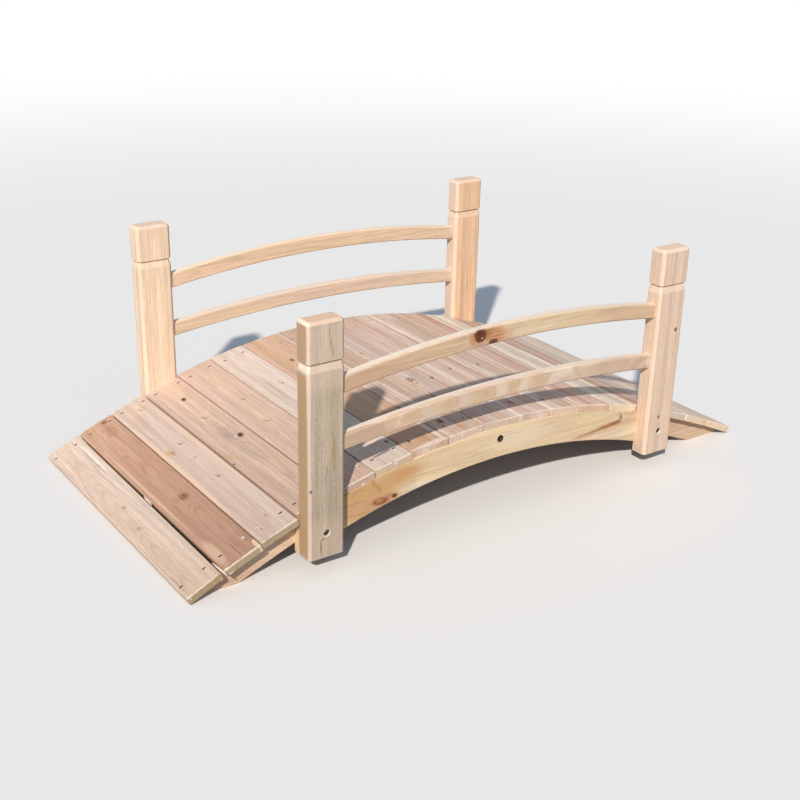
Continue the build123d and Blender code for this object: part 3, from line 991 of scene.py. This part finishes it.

# %% [markdown]
# ### Rails
# The near top rail is cream with a big dark knot just left of its middle. Both top rails, and the low
# rails too, are painted almost white on top, which is painted light. The near low rail was sawn aslant
# through wide rings, which come out as a row of tongues with a pale start and a thin dark rim. They
# are laid on as patches.

# %% Top rails
RAIL_FACE = 384.5
SPOT_DEPTH = 9
TOP_RAIL_KNOTS = [(-83, 421, 17, 15, 12, 1), (-50, 401, 12, 6.5, 5, 1)]
TOP_RAIL_PATCHES = [
    (-360, 380, 190, 50, CLAY, 0.55, 0.7), (100, 410, 200, 40, STRAW, 0.75, 0.6),
    (-48, 418, 36, 24, EMBER, 0.75), (-66, 422, 16, 14, RUST, 0.5), (-20, 410, 34, 16, EMBER, 0.4),
    (-103, 414, 12, 16, EMBER, 0.7), (-60, 428, 22, 1.6, RUST, 0.8), (-50, 421, 26, 1.4, RUST, 0.7),
    (-42, 413, 26, 1.6, RUST, 0.8), (-33, 405, 22, 1.4, RUST, 0.7), (-62, 409, 16, 1.6, RUST, 0.7),
    (-84, 421, 17, 15, KNOT_BROWN, 0.95, 0.35), (-50, 401, 12, 7, KNOT_BROWN, 0.95, 0.4),
    (-86, 424, 7, 6, PITCH, 0.4), (-80, 414, 2, 2.4, IVORY, 0.8), (-130, 418, 30, 1.2, CLAY, 0.7),
    (-145, 408, 40, 1.2, CLAY, 0.6), (10, 420, 50, 1.3, CLAY, 0.7), (30, 408, 60, 1.3, CLAY, 0.6),
    (105, 424, 45, 1.6, CLAY, 0.7), (170, 414, 60, 1.6, CLAY, 0.5), (320, 388, 120, 34, APRICOT, 0.5),
    (60, 408, 90, 4, IVORY, 0.4)]
for side, face in (("front", -RAIL_FACE), ("back", RAIL_FACE)):
    name = "top_rail_" + side
    lay = lay_of(name, ALONG_X)
    looks = dict(base=PEACH, ring_width=4.4, rings=0.3)
    if side == "front":
        looks = dict(base=tone(216, 187, 156), ring_width=2.8, rings=0.42,
                     knots=spots_on(knot, lay, face, TOP_RAIL_KNOTS),
                     patches=spots_on(patch, lay, face, TOP_RAIL_PATCHES, SPOT_DEPTH))
    saw(name, lay, hue=STRAW, seed=2.2 + face / 1000, pith=(30, -50), lean=(0, 0.03), bleach=0.9, **looks)
print("top rails dressed")

# %% Low rails
TONGUE_ENDS = (113, 29, -34, -131, -222, -293)


def tongues():
    """Rows for years cut at a slant: tongues with a pale start and a thin dark rim at their round end."""
    rows = []
    for x, start in zip(TONGUE_ENDS, TONGUE_ENDS[1:]):
        z = 290 - x * x / 6400
        half = (x - start + 26) / 2
        rows += [(x + 12, z, 27, 36, SHELL if x > -100 else ASH, 0.6, 0.9),
                 (x - half + 2, z, half, 24, CLAY, 0.6, 0.1), (x - half, z, half, 22, STRAW, 0.5, 0.15),
                 (x - 26, z, 24, 17, TAN, 0.45, 0.9)]
    return rows


LOW_RAIL_PATCHES = [
    (-390, 262, 98, 40, TAN, 0.9, 0.25), (150, 296, 34, 18, IVORY, 0.45), (320, 275, 150, 40, TAN, 0.55),
    (408, 262, 14, 14, SHELL, 0.6), *tongues(), (-274, 288, 7, 9, SHELL, 0.5, 0.7),
    (-282, 275, 7, 10, SHELL, 0.6, 0.7)]
for side, face in (("front", -RAIL_FACE), ("back", RAIL_FACE)):
    name = "low_rail_" + side
    lay = lay_of(name, ALONG_X)
    looks = dict(hue=STRAW, pith=(30, -50), ring_width=4.4, rings=0.2)
    if side == "front":
        looks = dict(hue=SHELL, deep=tone(200, 168, 136), pith=(49, 8), lean=(0.13, 0), ring_width=11,
                     wander=34, rings=1, hue_share=0.3, rag=(26, 9), rag_waves=(26, 60), fade=0.05,
                     patches=spots_on(patch, lay, face, LOW_RAIL_PATCHES, SPOT_DEPTH))
    saw(name, lay, OAT, seed=6.4 + face / 1000, level=0.95, bleach=0.9, **looks)
print("low rails dressed")

# %% [markdown]
# ### Posts
# The near left post is grey and full of short dark flecks, with a bead and a long spindle of
# yellow resin in its front face. The others are pinker and cleaner.

# %% Posts
POST_FACE = 395
POST_SPOT_DEPTH = 20
POST_SIDE = tone(184, 149, 110)
POST_LOOKS = {
    "front_left": dict(base=tone(203, 186, 165), hue=tone(204, 182, 168), flecks=0.42, rings=0.07,
                       ring_width=3.4, level=0.88, fade=0.45, end=tone(243, 207, 175), pith=(30, 60),
                       clean=0.5),
    "front_right": dict(base=OAT, hue=PEACH, contrast=0.75, rings=0.3, ring_width=4.2, pith=(-24, 50),
                        clean=0.45, end=tone(244, 216, 192)),
    "back_left": dict(base=tone(244, 219, 192), hue=PEACH, flecks=0.1, rings=0.16, ring_width=4.4,
                      pith=(18, 70), end=tone(240, 212, 190), clean=0.3),
    "back_right": dict(base=tone(236, 198, 164), hue=APRICOT, flecks=0.1, rings=0.34, ring_width=4,
                       pith=(10, 80), end=tone(240, 212, 188), clean=0.35)}
POST_KNOTS = {
    "front_right": [(445, 123, 3, 3.2, 3, 0.8), (470, 333, 3.4, 4, 3, 1), (397, 416, 3.5, 7, 3, 1)]}
POST_SPOTS = {
    "front_left": [(-445, 153, 5, 8, AMBER, 0.6), (-435, 255, 4.2, 52, SHADOW, 0.45),
                   (-435, 255, 2.8, 46, AMBER, 0.95), (-444, 500, 1.1, 15, SHADOW, 0.6),
                   (-442, 480, 1.2, 14, SHADOW, 0.6), (-440, 470, 2, 13, AMBER, 0.85),
                   (-437, 458, 2, 11, AMBER, 0.8), (-435, 466, 1, 12, SHADOW, 0.4),
                   (-465, 56, 1.6, 24, PITCH, 0.85), (-459, 74, 7, 1.8, PITCH, 0.7),
                   (-486, 184, 3, 5, SHADOW, 0.8)],
    "front_right": [(452, 250, 5, 200, ROSE, 0.5)]}
POST_BANDS = {
    "front_left": [(0, 455, 0, 80, OAT, 0.4, 0.4), (0, 60, 0, 80, OAT, 0.3, 0.6)],
    "back_right": [(409.6, 250, 5, 0, SHELL, 0.6)]}
# On the near left post the ivory spots are painted highlights on the left side's notch bevel and top chamfer.
POST_SIDES_AND_HIGHLIGHTS = {
    "front_left": [(-491.6, 229, 1.5, 197, POST_SIDE, 0.85, 0.05),
                   (-491.6, 480, 1.5, 38, POST_SIDE, 0.75, 0.05), (-488, 433, 5, 10, IVORY, 0.8),
                   (-488, 521, 6, 6, IVORY, 0.8)]}

for place, looks in POST_LOOKS.items():
    name = "post_" + place
    lay = lay_of(name, ALONG_Z)
    face = -POST_FACE if place.startswith("front") else POST_FACE
    screw = middle_of("post_screw_" + place) / MM
    bottom = pocket_bottom(lay, screw, face)
    # A pale rim round the screw's pocket, partly a bruised edge and partly painted light, and painted shade
    # on the pocket's deeper walls.
    pocket_shade_and_light = [patch(bottom, (10, 10, 0), IVORY, 0.5, 0.25), patch(bottom, (12.5, 12.5, 9.5), PITCH, 0.95, 0.1)]
    knots, spots, bands, edges = [
        spots_on(make, lay, where, table.get(place, ()), depth, log_upright=True)
        for make, where, table, depth in (
            (knot, face, POST_KNOTS, 0), (patch, face, POST_SPOTS, POST_SPOT_DEPTH),
            (patch, 0, POST_BANDS, 0), (patch, 0, POST_SIDES_AND_HIGHLIGHTS, 0))]
    saw(name, lay, seed=len(place) + abs(screw.x) / 100 + face / 500, knots=knots,
        patches=bands + spots, sharp=pocket_shade_and_light + edges, **looks)
saw("cross_tie", lay_of("cross_tie", ALONG_Y), PEACH, ROSE, 9.1)
print("posts dressed:", list(POST_LOOKS))

# %% [markdown]
# ## Screws and staples
# The screws sit deep in their holes. Their heads are painted dark, as painted shade, with a few
# painted glints. The staples are bright zinc, and three of them stand proud. A staple is modelled
# once, a bar with two legs pulled out of its ends, and copied to every place.

# %% Zinc
ZINC_BUMP = 0.2 * MM
zinc, place = new_material("zinc plate")
spangle = add("TexVoronoi", {"Vector": place, "Scale": 900}).outputs["Color"]
spangle = add("SeparateColor", {0: spangle}).outputs[0]
dull = noise(place, (260, 260, 260), 4, 0.6)
colour = mix_colour(ease(dull, 0.35, 0.7), tone(190, 192, 196), tone(120, 118, 116))
roughness = calc("MULTIPLY_ADD", spangle, 0.12, 0.28)
end_material({"Height": dull, "Distance": ZINC_BUMP, "Strength": 0.5},
             {"Base Color": colour, "Metallic": 1, "Roughness": roughness})
print("zinc:", len(tree.nodes), "nodes")

# %% Screw heads with painted shade and glints
shaded_glinting_zinc, place = new_material("zinc with painted shade and glints")
glint_noise = noise(place, (420, 420, 420), 3, 0.6)
# The heads are painted dark as painted shade, with painted glints where the noise is high.
colour = mix_colour(ease(glint_noise, 0.52, 0.62), tone(58, 54, 50), tone(214, 214, 212))
roughness = ease(glint_noise, 0.3, 0.7, 0.5, 0.3)
end_material({"Height": glint_noise, "Distance": ZINC_BUMP, "Strength": 0.5},
             {"Base Color": colour, "Metallic": 1, "Roughness": roughness})
for name in nodes:
    if "screw" in name:
        dress(name, shaded_glinting_zinc)
print("screws dressed:", sum("screw" in name for name in nodes))

# %% Staples
STAPLE_WIRE = 1.3 * MM
STAPLE_LEG = 12 * MM
STAPLE_LENGTH = 7.2 * MM
STAPLE_SUNK = 1.8 * MM
STAPLE_PROUD = 0.8 * MM

pattern = start_from_cube("staples", (STAPLE_LENGTH, STAPLE_WIRE, STAPLE_WIRE))
for side in (-1, 1):
    cut((side * (STAPLE_LENGTH / 2 - STAPLE_WIRE), 0, 0), (1, 0, 0))
pick(pattern, "faces", lambda face: face.normal.z < -0.9
     and abs(face.calc_center_median().x) > STAPLE_LENGTH / 3)
bpy.ops.mesh.extrude_region_move(TRANSFORM_OT_translate={"value": (0, 0, -STAPLE_LEG)})
bpy.ops.object.mode_set(mode="OBJECT")
pattern.data.materials.append(zinc)
copies = []
for name in board_names:
    lay, size = lays[name]
    for (across, along), high in zip(staples[name], raised[name]):
        height = size.z / 2 + (STAPLE_PROUD if high else -STAPLE_SUNK) - STAPLE_WIRE / 2
        copy = pattern.copy()
        copy.data = pattern.data.copy()
        bpy.context.scene.collection.objects.link(copy)
        copy.matrix_world = lay @ Matrix.Translation((across, along, height))
        copies.append(copy)
bpy.data.objects.remove(pattern)
bpy.ops.object.select_all(action="DESELECT")
for copy in copies:
    copy.select_set(True)
bpy.context.view_layer.objects.active = copies[0]
bpy.ops.object.join()
staple_piece = bpy.context.object
staple_piece.name = "staples"
bpy.ops.object.transform_apply(location=True, rotation=True, scale=True)
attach(staple_piece, "root")
print("staples:", len(copies), "copies,", len(staple_piece.data.polygons), "faces")

# %% [markdown]
# ## Splinters
# Rough sawn cedar tears. Two pale splinters lie in the wide gap beside the first board, and one
# hangs from the lower edge of the near low rail. Each is a thin bar, narrowed towards its tips.

# %% Splinters
TIP_WIDTH = 0.25
TIP_HEIGHT = 0.3
TIP_SHIFT = 0.3
TIP_DROOP = 0.2
splinter_finish = cedar("torn cedar", Matrix.Identity(4), SHELL, OAT, 14.2, rings=0.2)


def splinter(name, lay, size):
    """A thin bar along Y that tapers and droops towards its tips."""
    piece = start_from_cube(name, size)
    for share in (-0.25, 0.2):
        cut((0, size[1] * share, 0), (0, 1, 0))
    for end in (-1, 1):
        pick(piece, "verts", lambda vertex: vertex.co.y * end > size[1] * 0.4)
        bpy.ops.transform.resize(value=(TIP_WIDTH, 1, TIP_HEIGHT))
        bpy.ops.transform.translate(value=(end * size[0] * TIP_SHIFT, 0, -size[2] * TIP_DROOP))
    piece.data.materials.append(splinter_finish)
    finish_piece(piece, lay)


first_board, size = lays["deck_board_01"]
top = size.z / 2
splinter("splinter_gap", first_board @ Matrix.Translation((42.4 * MM, -21 * MM, top - 1.6 * MM)),
         (4.2 * MM, 46 * MM, 1.6 * MM))
turn = Matrix.Rotation(math.radians(3), 4, "Z")
splinter("splinter_end", first_board @ Matrix.Translation((41.5 * MM, -350 * MM, top - 1.2 * MM)) @ turn,
         (4 * MM, 60 * MM, 1.8 * MM))
hang = Matrix.Translation(metres((-338, -383, 250))) @ Matrix.Rotation(math.radians(-14), 4, "Y")
splinter("splinter_rail", hang @ ALONG_Y.inverted(), (2.6 * MM, 48 * MM, 3.6 * MM))
